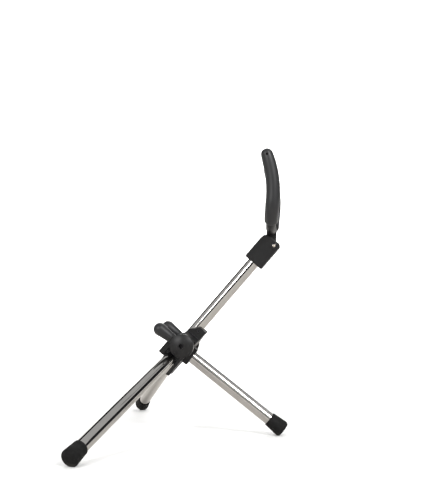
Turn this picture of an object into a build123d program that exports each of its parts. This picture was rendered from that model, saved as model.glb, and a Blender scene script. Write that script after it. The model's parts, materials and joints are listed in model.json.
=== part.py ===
"""Folding saxophone stand: scissor hub, post with bell yoke, two-prong cradle, three legs.

Millimetres, +Z up. The origin is on the floor under the middle of the stand, +Y points to the
stand's right side, and the post leans towards +X. The side profiles of the hub and the bracket
are drawn on a plane whose x runs up the post and whose y runs square to it, towards the rear foot.
"""
import os
from math import cos, radians, sin, sqrt, tan

from build123d import *

os.makedirs("parts", exist_ok=True)

# Stance
hub_height = 83.8           # crossing of the post, leg and prong axes above the floor
hub_x = -15.3               # the same crossing, from the middle of the footprint
post_angle = 49.1           # post above the horizontal
rear_pitch = 38.1           # rear leg below the horizontal
splay = 56.9                # each front leg away from the post's line

# Tubes
tube_d = 12.0
tube_wall = 1.0
bore_clearance = 0.05
spigot_length = 16.0
post_start = 15.0           # lower end of the post, from the crossing
post_end = 125.5            # upper end of the post, inside the bracket

# Hub
hub_half_width = 20.3
socket_wall = 4.2           # round the post's sides and under it
socket_open = 0.8           # depth of the post that stands out of the socket's open back
slot_wall = 0.2             # rear leg's core and collar, beyond the tube on each side
rail_thickness = 3.6
plate_thickness = 6.0       # upper plate of the leg hinges
socket_end = 28.6
socket_low_end = 20.5
socket_lip = 7.5            # height of the socket's mouth under the rail
plate_end = 14.0            # upper hinge plate, below the crossing
rail_end = 26.5             # long rail, below the crossing
eye_space = 0.6             # hinge plates to the tube's line
pivot_u = 5.5               # axle, up the post from the crossing
pivot_v = 1.6               # axle, towards the rear foot from the crossing
nose_round = 4.0            # socket's outer corner
heel_round = 2.0            # hinge plate's outer corner
edge_chamfer = 0.7
fit_clearance = 0.1
swing_clearance = 0.4       # between the hub and what turns inside it
cover_thickness = 2.2
cover_radius = 9.5
cover_pocket_depth = 6.0
cover_screw_d = 2.3
axle_wall = 1.6             # tube left round the axle behind each cover
rivet_d = 3.0
rivet_inset = 3.6           # post's rivet, from the socket's end
rivet_v = 3.5               # post's rivet, towards the rear foot from the post's axis

# Leg hinges
hinge_y = 13.0
hinge_pin_d = 5.0
eye_radius = 6.5
washer_thickness = 0.6
neck_length = 9.5           # hinge pin to the end of the tube

# Axle, collar and cradle
axle_d = 8.0
running_clearance = 0.06
core_radius = 8.5
collar_end = 15.4           # collar's end face, from the crossing
collar_start = 7.0
neck_start = 4.5
collar_rim = 3.0            # collar's edges, above and below the tube
arm_gap = 1.0               # hub's side to arm
boss_radius = 11.3
boss_length = 7.6
boss_crown = 2.8
arm_width = 9.3
arm_depth = 9.0
arm_reach = 15.0            # axle to the end of the arm
rod_d = 5.0
rod_reach = 29.0
sleeve_start = 12.5
sleeve_tip = 32.6
sleeve_root_radius = 4.9
sleeve_tip_radius = 6.4
sleeve_lean = 4.0
recess_d = 5.0
recess_depth = 3.2
arm_round = 3.2
tenon_radius = 3.4          # arm's end, inside the sleeve
rod_sink = 8.0              # rod's length inside the arm
axle_screw_d = 3.0
axle_screw_length = 8.0
axle_screw_head = 1.6
drive_width = 0.7           # cross slot of the axle's screws
drive_depth = 0.8

# Foot caps
cap_wall = 0.85             # at the mouth
cap_flare = 1.4             # growth in radius from the mouth to the end
cap_length = 17.5
cap_edge = 3.0
cap_base = 3.5              # rubber under the tube's end
cap_lip = 0.5
foot_flat = 0.7             # depth of the flat that each cap stands on

# Bracket
bracket_start = 110.0
bracket_end = 140.5
bracket_wall = 4.15
stem_half_width = 5.0
stem_clearance = 0.35
yoke_pin_u = 135.6
yoke_pin_v = 5.0
yoke_pin_d = 4.0
bracket_corner = 7.5        # length of the tapered corner beside the open yoke's stem
bracket_round = 3.5         # end corner on the rear side
bracket_edge = 1.6          # round of the bracket's two corners on the post's rear side
bracket_chamfer = 1.1
bracket_screw_d = 3.0
bracket_screw_reach = 7.5   # screws' length into the left shell
bracket_screw_head_d = 4.2
bracket_screw_head = 1.2
pin_head_d = 5.8
pin_head = 1.1
pin_head_round = 0.8
yoke_fold = 180.0           # travel of the yoke, from open to folded down

# Yoke
yoke_rod_d = 9.6
yoke_bottom = 115.0         # centre of the U's lowest run above the crossing
yoke_x = 90.0               # the same run, along X from the crossing
yoke_half_width = 47.0
yoke_corner = 24.0
yoke_lean_out = 5.0
yoke_lean_in = 15.5
yoke_bend = 100.0
yoke_straight = 6.2
lug_radius = 5.0
heel_depth = 1.0            # stem's square heel below the pin
yoke_sleeve_d = 13.2
vent_d = 1.8
vent_depth = 0.9
sleeve_from = 40.0          # where the sleeve begins on the U's corner, in degrees

far = 40.0                  # further than any piece reaches

X = Vector(1, 0, 0)
Y = Vector(0, 1, 0)
Z = Vector(0, 0, 1)
hub = Vector(hub_x, 0, hub_height)
along = Vector(cos(radians(post_angle)), 0, sin(radians(post_angle)))
across = Vector(sin(radians(post_angle)), 0, -cos(radians(post_angle)))
rear_dir = Vector(cos(radians(rear_pitch)), 0, -sin(radians(rear_pitch)))
side_plane = Plane(origin=hub, x_dir=along, z_dir=Y)
post_plane = Plane(origin=hub, x_dir=Y, z_dir=along)
rear_plane = Plane(origin=hub, x_dir=Y, z_dir=rear_dir)
pivot = hub + along * pivot_u + across * pivot_v
yoke_pivot = hub + along * yoke_pin_u + across * yoke_pin_v
spigot_d = tube_d - 2 * tube_wall - 2 * bore_clearance
bore_d = tube_d + 2 * bore_clearance
socket_half_width = tube_d / 2 + socket_wall
socket_back = tube_d / 2 - socket_open
hub_front = tube_d / 2 + socket_wall
eye_half_height = tube_d / 2 + eye_space
core_half_width = tube_d / 2 + slot_wall
slot_half_width = core_half_width + swing_clearance
collar_width = tube_d + 2 * collar_rim
cap_top_d = bore_d + 2 * cap_wall
cap_bottom_d = cap_top_d + 2 * cap_flare
bracket_half_height = tube_d / 2 + bracket_wall
bracket_half_width = bore_d / 2 + bracket_wall
arm_inner = hub_half_width + arm_gap
arm_middle = arm_inner + arm_depth / 2
boss_face = arm_inner + boss_length
axle_half = boss_face - recess_depth - 0.5
hinge_u = -hinge_y / tan(radians(splay))
plate_back = eye_half_height + plate_thickness
eye_half = eye_half_height - washer_thickness - fit_clearance
rivet_u = socket_end - rivet_inset


def save(part, label):
    """Label a finished piece and write it under its own name."""
    part.label = label
    export_step(part, f"parts/{label}.step")


def side_name(side):
    """The stand's left side is at -Y and its right side at +Y."""
    return "left" if side < 0 else "right"


def to_side(point):
    """Coordinates of a point on the side plane."""
    offset = point - hub
    return (offset.dot(along), offset.dot(across))


def leg_direction(side):
    """Direction of a front leg, from its hinge to its foot."""
    return along * -cos(radians(splay)) + Y * side * sin(radians(splay))


def leg_hinge(side):
    """Centre of a front leg's hinge: on the leg's line, which runs through the crossing."""
    return hub + along * hinge_u + Y * side * hinge_y


def hinge_plane(side):
    """Plane square to a front leg's pin, through the leg's axis."""
    return Plane(origin=leg_hinge(side), x_dir=Y, z_dir=across)


def cap_bottom_distance(start, direction):
    """Distance along a leg at which the cap's rounded edge passes just through the floor."""
    drop = -direction.Z
    level = sqrt(1 - drop**2)
    depth = start.Z - cap_edge + foot_flat - (cap_bottom_d / 2 - cap_edge) * level
    return depth / drop + cap_edge


def tube_piece(label, plane, length, rivet_at):
    """A tube from a plane's origin along its z, drilled along the plane's x for a rivet."""
    drill = Plane(origin=plane.origin + plane.z_dir * rivet_at, x_dir=plane.z_dir, z_dir=plane.x_dir)
    with BuildPart() as tube:
        with BuildSketch(plane):
            Circle(tube_d / 2)
            Circle(tube_d / 2 - tube_wall, mode=Mode.SUBTRACT)
        extrude(amount=length)
        with BuildSketch(drill):
            Circle(rivet_d / 2 + bore_clearance)
        extrude(amount=tube_d, both=True, mode=Mode.SUBTRACT)
    save(tube.part, label)


def foot_cap(label, plane):
    """A rubber cap on the end of a leg that runs along the plane's z, cut level at the floor."""
    start = plane.origin
    direction = plane.z_dir
    bottom = cap_bottom_distance(start, direction)
    top = bottom - cap_length
    seat = bottom - cap_base
    # On the profile's plane x is the radius and y runs down the leg.
    profile = Plane(origin=start, x_dir=plane.x_dir, z_dir=plane.x_dir.cross(direction))
    with BuildPart() as cap:
        with BuildSketch(profile):
            with BuildLine():
                Polyline(
                    (0, bottom),
                    (cap_bottom_d / 2, bottom),
                    (cap_top_d / 2, top),
                    (bore_d / 2, top),
                    (bore_d / 2, seat),
                    (0, seat),
                    close=True,
                )
            make_face()
        revolve(axis=Axis(start, direction))
        rings = cap.edges().filter_by(GeomType.CIRCLE)
        fillet(rings.sort_by(lambda edge: edge.radius).last, cap_edge)
        rings = cap.edges().filter_by(GeomType.CIRCLE)
        fillet(rings.filter_by(lambda edge: abs(edge.radius - cap_top_d / 2) < 0.01), cap_lip)
        split(bisect_by=Plane.XY, keep=Keep.TOP)
    save(cap.part, label)
    return seat


def build_hub_body():
    """The hub's moulding: post socket, side walls, hinge plates and the long rail."""
    pocket = hinge_u + eye_radius + swing_clearance
    tilt = radians(90 - post_angle - rear_pitch)
    collar_top = collar_width / 2 * cos(tilt) + collar_end * sin(tilt) + swing_clearance
    with BuildPart() as body:
        with BuildSketch(side_plane):
            with BuildLine():
                Polyline(
                    (-rail_end, hub_front),
                    (-rail_end - 1, hub_front - rail_thickness),
                    (pocket, eye_half_height),
                    (pocket, -eye_half_height),
                    (-plate_end, -eye_half_height),
                    (-plate_end, -plate_back),
                    (-1, -plate_back),
                    (post_start - 1, -socket_back),
                    (socket_low_end, -socket_back),
                    (socket_end, hub_front - socket_lip),
                    (socket_end, hub_front),
                    close=True,
                )
            make_face()
        extrude(amount=hub_half_width, both=True)
        corners = body.edges().filter_by(Axis.Y)
        fillet(corners.sort_by(lambda edge: (edge.center() - hub).dot(along)).last, nose_round)
        corners = body.edges().filter_by(Axis.Y)
        fillet(corners.sort_by(lambda edge: (edge.center() - hub).dot(across)).first, heel_round)
        chamfer(body.faces().filter_by(Axis.Y).edges(), edge_chamfer)
        shoulder = Plane(origin=hub, x_dir=along, z_dir=across)
        for side in (-1, 1):
            # The socket is narrower than the hinge housing, with a sloped shoulder between them.
            with BuildSketch(shoulder):
                with BuildLine():
                    Polyline(
                        (post_start + 0.5, side * (hub_half_width + 1)),
                        (post_start + 4, side * socket_half_width),
                        (socket_end + 1, side * socket_half_width),
                        (socket_end + 1, side * (hub_half_width + 1)),
                        close=True,
                    )
                make_face()
            extrude(amount=far, both=True, mode=Mode.SUBTRACT)
            # The rail narrows towards its lower end.
            with BuildSketch(shoulder):
                with BuildLine():
                    Polyline(
                        (-plate_end, side * (hub_half_width + 1)),
                        (-plate_end, side * hub_half_width),
                        (-rail_end, side * (hinge_y - 1)),
                        (-rail_end - 3, side * (hinge_y - 1)),
                        (-rail_end - 3, side * (hub_half_width + 1)),
                        close=True,
                    )
                make_face()
            extrude(amount=far, both=True, mode=Mode.SUBTRACT)
        # Slot for the rear leg's socket, its collar and the folded leg.
        with BuildSketch(side_plane):
            with Locations((pivot_u, pivot_v)):
                Circle(core_radius + swing_clearance)
                Rectangle(collar_top - pivot_u, far, align=(Align.MIN, Align.MIN))
                Rectangle(far, 2 * far, align=(Align.MAX, Align.CENTER))
        extrude(amount=slot_half_width, both=True, mode=Mode.SUBTRACT)
        # Post bore, axle bore, hinge pin bores and the rivet's hole.
        with BuildSketch(post_plane.offset(post_start)):
            Circle(bore_d / 2)
        extrude(amount=socket_end, mode=Mode.SUBTRACT)
        with BuildSketch(side_plane):
            with Locations((pivot_u, pivot_v)):
                Circle(axle_d / 2 + running_clearance)
            with Locations((rivet_u, rivet_v)):
                Circle(rivet_d / 2 + bore_clearance)
        extrude(amount=far, both=True, mode=Mode.SUBTRACT)
        for side in (-1, 1):
            with BuildSketch(hinge_plane(side)):
                Circle(hinge_pin_d / 2 + bore_clearance)
            extrude(amount=far, both=True, mode=Mode.SUBTRACT)
            # Pocket behind each cover, with a tube left round the axle.
            with BuildSketch(side_plane.offset(side * hub_half_width)):
                with Locations((pivot_u, pivot_v)):
                    Circle(cover_radius + fit_clearance)
            extrude(amount=-side * cover_thickness, mode=Mode.SUBTRACT)
            with BuildSketch(side_plane.offset(side * (hub_half_width - cover_thickness))):
                with Locations((pivot_u, pivot_v)):
                    Circle(cover_radius - 3)
                    Circle(axle_d / 2 + axle_wall, mode=Mode.SUBTRACT)
            extrude(amount=-side * cover_pocket_depth, mode=Mode.SUBTRACT)
    save(body.part, "hub_body")


def build_hub_covers():
    """Round covers let into the hub's sides, with two screws each."""
    angles = (60, 240)
    for side in (-1, 1):
        outer = side_plane.offset(side * hub_half_width)
        with BuildPart() as cover:
            with BuildSketch(outer):
                with Locations((pivot_u, pivot_v)):
                    Circle(cover_radius)
                    Circle(axle_d / 2 + running_clearance, mode=Mode.SUBTRACT)
            extrude(amount=-side * cover_thickness)
            with BuildSketch(outer):
                for angle in angles:
                    with Locations(cover_screw_place(angle)):
                        Circle(cover_screw_d / 2 + bore_clearance)
            extrude(amount=-side * cover_thickness, mode=Mode.SUBTRACT)
        save(cover.part, f"hub_cover_{side_name(side)}")
    with BuildPart() as screws:
        for side in (-1, 1):
            with BuildSketch(side_plane.offset(side * (hub_half_width - cover_thickness))):
                for angle in angles:
                    with Locations(cover_screw_place(angle)):
                        Circle(cover_screw_d / 2)
            extrude(amount=side * cover_thickness)
    save(screws.part, "cover_screws")


def cover_screw_place(angle):
    """Place of a cover screw on the side plane."""
    reach = cover_radius - 2
    return (pivot_u + reach * cos(radians(angle)), pivot_v + reach * sin(radians(angle)))


def build_post():
    """Post tube, the plug in its lower end and the cross rivet."""
    plug_length = rivet_u - post_start + 2 * rivet_d
    with BuildPart() as post:
        with BuildSketch(post_plane.offset(post_start)):
            Circle(tube_d / 2)
            Circle(tube_d / 2 - tube_wall, mode=Mode.SUBTRACT)
        extrude(amount=post_end - post_start)
        with BuildSketch(side_plane):
            with Locations((rivet_u, rivet_v)):
                Circle(rivet_d / 2 + bore_clearance)
        extrude(amount=tube_d, both=True, mode=Mode.SUBTRACT)
    save(post.part, "post_tube")
    with BuildPart() as plug:
        with BuildSketch(post_plane.offset(post_start)):
            Circle(spigot_d / 2)
        extrude(amount=plug_length)
        with BuildSketch(side_plane):
            with Locations((rivet_u, rivet_v)):
                Circle(rivet_d / 2 + bore_clearance)
        extrude(amount=tube_d, both=True, mode=Mode.SUBTRACT)
    save(plug.part, "post_insert")
    with BuildPart() as rivet:
        with BuildSketch(side_plane):
            with Locations((rivet_u, rivet_v)):
                Circle(rivet_d / 2)
        extrude(amount=socket_half_width - swing_clearance, both=True)
    save(rivet.part, "post_rivet")


def build_leg_hinges():
    """Pins and friction washers of the two front leg hinges."""
    with BuildPart() as pins:
        for side in (-1, 1):
            with BuildSketch(hinge_plane(side).offset(-plate_back)):
                Circle(hinge_pin_d / 2)
            extrude(amount=plate_back + hub_front)
    save(pins.part, "leg_hinge_pins")
    with BuildPart() as washers:
        for side in (-1, 1):
            for start in (-eye_half_height, eye_half_height - washer_thickness):
                with BuildSketch(hinge_plane(side).offset(start)):
                    Circle(eye_radius - swing_clearance)
                    Circle(hinge_pin_d / 2 + bore_clearance, mode=Mode.SUBTRACT)
                extrude(amount=washer_thickness)
    save(washers.part, "leg_hinge_washers")


def build_front_leg(side):
    """Eye with spigot, tube, rivet and cap of one front leg."""
    name = f"front_{side_name(side)}_leg"
    hinge = leg_hinge(side)
    direction = leg_direction(side)
    leg_plane = Plane(origin=hinge, x_dir=across, z_dir=direction)
    seat = foot_cap(f"{name}_cap", leg_plane)
    rivet_at = neck_length + spigot_length / 2
    with BuildPart() as eye:
        with BuildSketch(hinge_plane(side)):
            Circle(eye_radius)
        extrude(amount=eye_half, both=True)
        with BuildSketch(leg_plane):
            Circle(eye_half)
        extrude(amount=neck_length)
        with BuildSketch(leg_plane.offset(neck_length)):
            Circle(spigot_d / 2)
        extrude(amount=spigot_length)
        with BuildSketch(hinge_plane(side)):
            Circle(hinge_pin_d / 2 + running_clearance)
        extrude(amount=far, both=True, mode=Mode.SUBTRACT)
        with BuildSketch(Plane(origin=hinge + direction * rivet_at, x_dir=direction, z_dir=across)):
            Circle(rivet_d / 2 + bore_clearance)
        extrude(amount=tube_d, both=True, mode=Mode.SUBTRACT)
    save(eye.part, f"{name}_eye")
    tube_piece(f"{name}_tube", leg_plane.offset(neck_length), seat - neck_length, spigot_length / 2)
    flush_rivet(f"{name}_rivet", leg_plane, rivet_at)


def flush_rivet(label, plane, rivet_at):
    """A rivet filed flush with the tube, along the plane's x."""
    start = plane.origin + plane.z_dir * rivet_at
    with BuildPart() as rivet:
        with BuildSketch(Plane(origin=start, x_dir=plane.z_dir, z_dir=plane.x_dir)):
            Circle(rivet_d / 2)
        extrude(amount=tube_d, both=True)
        with BuildSketch(plane):
            Circle(tube_d / 2)
        extrude(amount=rivet_at + spigot_length, mode=Mode.INTERSECT)
    save(rivet.part, label)


def build_rear_leg():
    """Socket on the axle, with collar and spigot, then tube, rivet and cap."""
    seat = foot_cap("rear_leg_cap", rear_plane)
    rivet_at = collar_end + spigot_length / 2
    with BuildPart() as socket:
        with BuildSketch(side_plane):
            with Locations((pivot_u, pivot_v)):
                Circle(core_radius)
        extrude(amount=core_half_width, both=True)
        with BuildSketch(rear_plane.offset(neck_start)):
            Rectangle(2 * core_half_width, tube_d)
        extrude(amount=collar_end - neck_start)
        with BuildSketch(rear_plane.offset(collar_start)):
            Rectangle(2 * core_half_width, collar_width)
        extrude(amount=collar_end - collar_start)
        end_face = socket.faces().sort_by(lambda face: (face.center() - hub).dot(rear_dir)).last
        fillet(end_face.edges().filter_by(Axis.Y), 0.8)
        with BuildSketch(rear_plane.offset(collar_end)):
            Circle(spigot_d / 2)
        extrude(amount=spigot_length)
        with BuildSketch(side_plane):
            with Locations((pivot_u, pivot_v)):
                Circle(axle_d / 2 + bore_clearance)
        extrude(amount=far, both=True, mode=Mode.SUBTRACT)
        with BuildSketch(Plane(origin=hub + rear_dir * rivet_at, x_dir=rear_dir, z_dir=Y)):
            Circle(rivet_d / 2 + bore_clearance)
        extrude(amount=tube_d, both=True, mode=Mode.SUBTRACT)
    save(socket.part, "rear_leg_socket")
    tube_piece("rear_leg_tube", rear_plane.offset(collar_end), seat - collar_end, spigot_length / 2)
    flush_rivet("rear_leg_rivet", rear_plane, rivet_at)


def build_axle():
    """Axle through the hub, its washers and its end screws."""
    with BuildPart() as axle:
        with BuildSketch(side_plane):
            with Locations((pivot_u, pivot_v)):
                Circle(axle_d / 2)
        extrude(amount=axle_half, both=True)
        for side in (-1, 1):
            with BuildSketch(side_plane.offset(side * axle_half)):
                with Locations((pivot_u, pivot_v)):
                    Circle(axle_screw_d / 2 + bore_clearance)
            extrude(amount=-side * (axle_screw_length + 1), mode=Mode.SUBTRACT)
    save(axle.part, "pivot_axle")
    with BuildPart() as washers:
        for side in (-1, 1):
            with BuildSketch(side_plane.offset(side * arm_inner)):
                with Locations((pivot_u, pivot_v)):
                    Circle(cover_radius)
                    Circle(axle_d / 2 + bore_clearance, mode=Mode.SUBTRACT)
            extrude(amount=-side * (arm_gap - fit_clearance))
    save(washers.part, "axle_washers")
    with BuildPart() as screws:
        for side in (-1, 1):
            with BuildSketch(side_plane.offset(side * axle_half)):
                with Locations((pivot_u, pivot_v)):
                    Circle(axle_screw_d / 2)
            extrude(amount=-side * axle_screw_length)
            with BuildSketch(side_plane.offset(side * axle_half)):
                with Locations((pivot_u, pivot_v)):
                    Circle(recess_d / 2 - fit_clearance)
            extrude(amount=side * axle_screw_head)
            with BuildSketch(side_plane.offset(side * (axle_half + axle_screw_head))):
                with Locations((pivot_u, pivot_v)):
                    Rectangle(axle_screw_d, drive_width)
                    Rectangle(drive_width, axle_screw_d)
            extrude(amount=-side * drive_depth, mode=Mode.SUBTRACT)
    save(screws.part, "axle_screws")


def build_cradle(side):
    """Domed arm on the axle's end, the steel rod of its prong and the rubber sleeve."""
    name = side_name(side)
    lean = radians(sleeve_lean)
    outward = across * -cos(lean) - along * sin(lean)
    root = pivot + Y * side * arm_middle
    prong_plane = Plane(origin=root, x_dir=Y, z_dir=outward)
    arm_plane = Plane(origin=pivot + Y * side * (arm_inner + boss_face) / 2, x_dir=Y, z_dir=outward)
    dome_radius = (boss_radius**2 + boss_crown**2) / (2 * boss_crown)
    peak = boss_face + boss_crown
    rod_start = arm_reach - rod_sink
    with BuildPart() as arm:
        # On this plane x is the radius and y runs out from the stand's middle.
        with BuildSketch(Plane(origin=pivot, x_dir=along, z_dir=along.cross(Y * side))):
            with BuildLine():
                Polyline((0, peak), (0, arm_inner), (boss_radius, arm_inner), (boss_radius, boss_face))
                RadiusArc((boss_radius, boss_face), (0, peak), -dome_radius)
            make_face()
        revolve(axis=Axis(pivot, Y))
        with BuildSketch(arm_plane):
            RectangleRounded(boss_length, arm_width, arm_round)
        extrude(amount=arm_reach)
        with BuildSketch(side_plane):
            with Locations((pivot_u, pivot_v)):
                Circle(axle_d / 2 + bore_clearance)
        extrude(amount=side * axle_half, mode=Mode.SUBTRACT)
        with BuildSketch(side_plane.offset(side * axle_half)):
            with Locations((pivot_u, pivot_v)):
                Circle(recess_d / 2)
        extrude(amount=side * far, mode=Mode.SUBTRACT)
        with BuildSketch(prong_plane.offset(rod_start)):
            Circle(rod_d / 2 + bore_clearance)
        extrude(amount=far, mode=Mode.SUBTRACT)
        # The arm's end is turned down to a tenon for the sleeve.
        with BuildSketch(prong_plane.offset(sleeve_start)):
            Rectangle(far, far)
            Circle(tenon_radius, mode=Mode.SUBTRACT)
        extrude(amount=far, mode=Mode.SUBTRACT)
    save(arm.part, f"cradle_arm_{name}")
    with BuildPart() as rod:
        with BuildSketch(prong_plane.offset(rod_start)):
            Circle(rod_d / 2)
        extrude(amount=rod_reach - rod_start)
    save(rod.part, f"prong_rod_{name}")
    with BuildPart() as sleeve:
        with BuildSketch(Plane(origin=root, x_dir=outward, z_dir=Y)):
            with BuildLine():
                shoulder = sleeve_tip - sleeve_tip_radius
                Polyline(
                    (sleeve_tip, 0),
                    (sleeve_start, 0),
                    (sleeve_start, sleeve_root_radius),
                    (shoulder, sleeve_tip_radius),
                )
                RadiusArc((shoulder, sleeve_tip_radius), (sleeve_tip, 0), sleeve_tip_radius)
            make_face()
        revolve(axis=Axis(root, outward))
        with BuildSketch(prong_plane.offset(sleeve_start)):
            Circle(tenon_radius + bore_clearance)
        extrude(amount=arm_reach - sleeve_start, mode=Mode.SUBTRACT)
        with BuildSketch(prong_plane.offset(sleeve_start)):
            Circle(rod_d / 2 + bore_clearance)
        extrude(amount=rod_reach - sleeve_start, mode=Mode.SUBTRACT)
    save(sleeve.part, f"prong_sleeve_{name}")


def folded(point):
    """Where a point of the yoke goes when the yoke is folded down."""
    return yoke_pivot + (point - yoke_pivot).rotate(Axis.Y, yoke_fold)


def build_bracket():
    """Two half shells on the post's upper end, their screws and the yoke's pin."""
    left = hub.X + yoke_x - yoke_rod_d / 2 - stem_clearance
    right = hub.X + yoke_x + yoke_rod_d / 2 + stem_clearance
    heel = yoke_pivot.Z - heel_depth - stem_clearance
    # Slot for the stem, from its open place through the pin to its folded place.
    slot_outline = (
        to_side(Vector(left, 0, yoke_pivot.Z + far)),
        to_side(Vector(left, 0, heel)),
        to_side(Vector(yoke_pivot.X, 0, heel)),
        to_side(folded(Vector(right, 0, yoke_pivot.Z + lug_radius))),
        to_side(folded(Vector(right, 0, yoke_pivot.Z + far))),
        to_side(yoke_pivot + across * far + along * far),
    )
    screw_places = ((bracket_start + 4, -8.0), (bracket_end - 8, -8.0))
    for side in (-1, 1):
        with BuildPart() as shell:
            with BuildSketch(side_plane):
                with BuildLine():
                    Polyline(
                        (bracket_start, -bracket_half_height),
                        (bracket_end - bracket_corner, -bracket_half_height),
                        (bracket_end - 3, 0.9 - bracket_half_height),
                        (bracket_end, 3.6 - bracket_half_height),
                        (bracket_end, bracket_half_height),
                        (bracket_start, bracket_half_height),
                        close=True,
                    )
                make_face()
            extrude(amount=side * bracket_half_width)
            corners = shell.edges().filter_by(Axis.Y).sort_by(lambda edge: sum(to_side(edge.center())))
            fillet(corners.last, bracket_round)
            fillet(corners.first, bracket_edge)
            corners = shell.edges().filter_by(Axis.Y)
            corners = corners.sort_by(lambda edge: to_side(edge.center())[1] - to_side(edge.center())[0])
            fillet(corners.last, bracket_edge)
            outer_face = shell.faces().filter_by(Axis.Y).sort_by(lambda face: side * face.center().Y).last
            chamfer(outer_face.edges(), bracket_chamfer)
            with BuildSketch(post_plane):
                Circle(bore_d / 2)
            extrude(amount=post_end, mode=Mode.SUBTRACT)
            with BuildSketch(side_plane):
                with BuildLine():
                    Polyline(*slot_outline, close=True)
                make_face()
                with Locations((yoke_pin_u, yoke_pin_v)):
                    Circle(lug_radius + stem_clearance)
            extrude(amount=side * (stem_half_width + stem_clearance), mode=Mode.SUBTRACT)
            with BuildSketch(side_plane):
                with Locations((yoke_pin_u, yoke_pin_v)):
                    Circle(yoke_pin_d / 2 + running_clearance)
            extrude(amount=side * far, mode=Mode.SUBTRACT)
            # The screws stop inside the left shell and go right through the other.
            with BuildSketch(side_plane):
                with Locations(*screw_places):
                    Circle(bracket_screw_d / 2 + bore_clearance)
            extrude(amount=side * (bracket_screw_reach + 0.5 if side < 0 else far), mode=Mode.SUBTRACT)
        save(shell.part, f"bracket_shell_{side_name(side)}")
    with BuildPart() as screws:
        with BuildSketch(side_plane.offset(-bracket_screw_reach)):
            with Locations(*screw_places):
                Circle(bracket_screw_d / 2)
        extrude(amount=bracket_screw_reach + bracket_half_width)
        with BuildSketch(side_plane.offset(bracket_half_width)):
            with Locations(*screw_places):
                Circle(bracket_screw_head_d / 2)
        extrude(amount=bracket_screw_head)
    save(screws.part, "bracket_screws")
    with BuildPart() as pin:
        with BuildSketch(side_plane):
            with Locations((yoke_pin_u, yoke_pin_v)):
                Circle(yoke_pin_d / 2)
        extrude(amount=bracket_half_width, both=True)
        for side in (-1, 1):
            with BuildSketch(side_plane.offset(side * bracket_half_width)):
                with Locations((yoke_pin_u, yoke_pin_v)):
                    Circle(pin_head_d / 2)
            extrude(amount=side * pin_head)
        heads = pin.faces().filter_by(Axis.Y).sort_by(Axis.Y)
        fillet(heads.first.edges() + heads.last.edges(), pin_head_round)
    save(pin.part, "yoke_pin")


def yoke_points(side):
    """Named points of one half of the yoke's centre line."""
    out = radians(yoke_lean_out)
    turn = radians(yoke_lean_out + yoke_lean_in)
    rise = Vector(sin(out), 0, cos(out))
    bottom = hub + X * yoke_x + Z * yoke_bottom
    corner_centre = bottom + Y * side * (yoke_half_width - yoke_corner) + rise * yoke_corner

    def on_corner(angle):
        swing = radians(angle)
        return corner_centre + (Y * side * sin(swing) - rise * cos(swing)) * yoke_corner

    lean_left = Vector(-cos(out), 0, sin(out))
    bend_centre = on_corner(90) + rise + lean_left * yoke_bend

    def on_bend(share):
        swing = turn * share
        return bend_centre + (rise * sin(swing) - lean_left * cos(swing)) * yoke_bend

    top = rise * cos(turn) + lean_left * sin(turn)
    tip = on_bend(1) + top * yoke_straight
    return bottom, on_corner, rise, on_bend, tip, top


def yoke_wire(side, start_angle, extra):
    """Centre line from a place on the corner to the tip, as tangent arcs and lines."""
    _, on_corner, rise, on_bend, tip, top = yoke_points(side)
    with BuildLine() as wire:
        ThreePointArc(on_corner(start_angle), on_corner((start_angle + 90) / 2), on_corner(90))
        Line(on_corner(90), on_corner(90) + rise)
        ThreePointArc(on_bend(0), on_bend(0.5), on_bend(1))
        Line(on_bend(1), tip + top * extra)
    return wire.wires()[0]


def build_yoke():
    """Stem with its lug and U-shaped rod in one moulding, and the two rubber sleeves."""
    bottom = yoke_points(1)[0]
    stem_left = bottom.X - yoke_rod_d / 2
    stem_right = bottom.X + yoke_rod_d / 2
    with BuildPart() as frame:
        for side in (-1, 1):
            wire = yoke_wire(side, 0, -yoke_rod_d / 2)
            with BuildSketch(Plane(origin=wire @ 0, z_dir=wire % 0)):
                Circle(yoke_rod_d / 2)
            sweep(path=wire)
        inner = yoke_half_width - yoke_corner
        with BuildSketch(Plane(origin=bottom - Y * inner, x_dir=X, z_dir=Y)):
            Circle(yoke_rod_d / 2)
        extrude(amount=2 * inner)
        heel = yoke_pivot.Z - heel_depth
        with BuildSketch(Plane(origin=(0, 0, 0), x_dir=X, z_dir=-Y)):
            with Locations((yoke_pivot.X, yoke_pivot.Z)):
                Circle(lug_radius)
            with BuildLine():
                Polyline(
                    (stem_left, heel),
                    (yoke_pivot.X, heel),
                    (stem_right, heel + lug_radius),
                    (stem_right, bottom.Z),
                    (stem_left, bottom.Z),
                    close=True,
                )
            make_face()
        extrude(amount=stem_half_width, both=True)
        with BuildSketch(side_plane):
            with Locations((yoke_pin_u, yoke_pin_v)):
                Circle(yoke_pin_d / 2 + running_clearance)
        extrude(amount=far, both=True, mode=Mode.SUBTRACT)
    save(frame.part, "yoke_frame")
    for side in (-1, 1):
        tip = yoke_points(side)[4]
        wire = yoke_wire(side, sleeve_from, 0)
        core = yoke_wire(side, sleeve_from, fit_clearance - yoke_rod_d / 2)
        with BuildPart() as sleeve:
            with BuildSketch(Plane(origin=wire @ 0, z_dir=wire % 0)):
                Circle(yoke_sleeve_d / 2)
            sweep(path=wire)
            with Locations(Location(tip)):
                Sphere(yoke_sleeve_d / 2)
            with BuildSketch(Plane(origin=core @ 0, z_dir=core % 0)):
                Circle(yoke_rod_d / 2 + bore_clearance)
            sweep(path=core, mode=Mode.SUBTRACT)
            # Small vent dimple near the tip, on the outer side.
            with BuildSketch(Plane(origin=tip + Y * side * yoke_sleeve_d / 2, z_dir=Y * side)):
                Circle(vent_d / 2)
            extrude(amount=-vent_depth, mode=Mode.SUBTRACT)
        save(sleeve.part, f"yoke_sleeve_{side_name(side)}")


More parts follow.
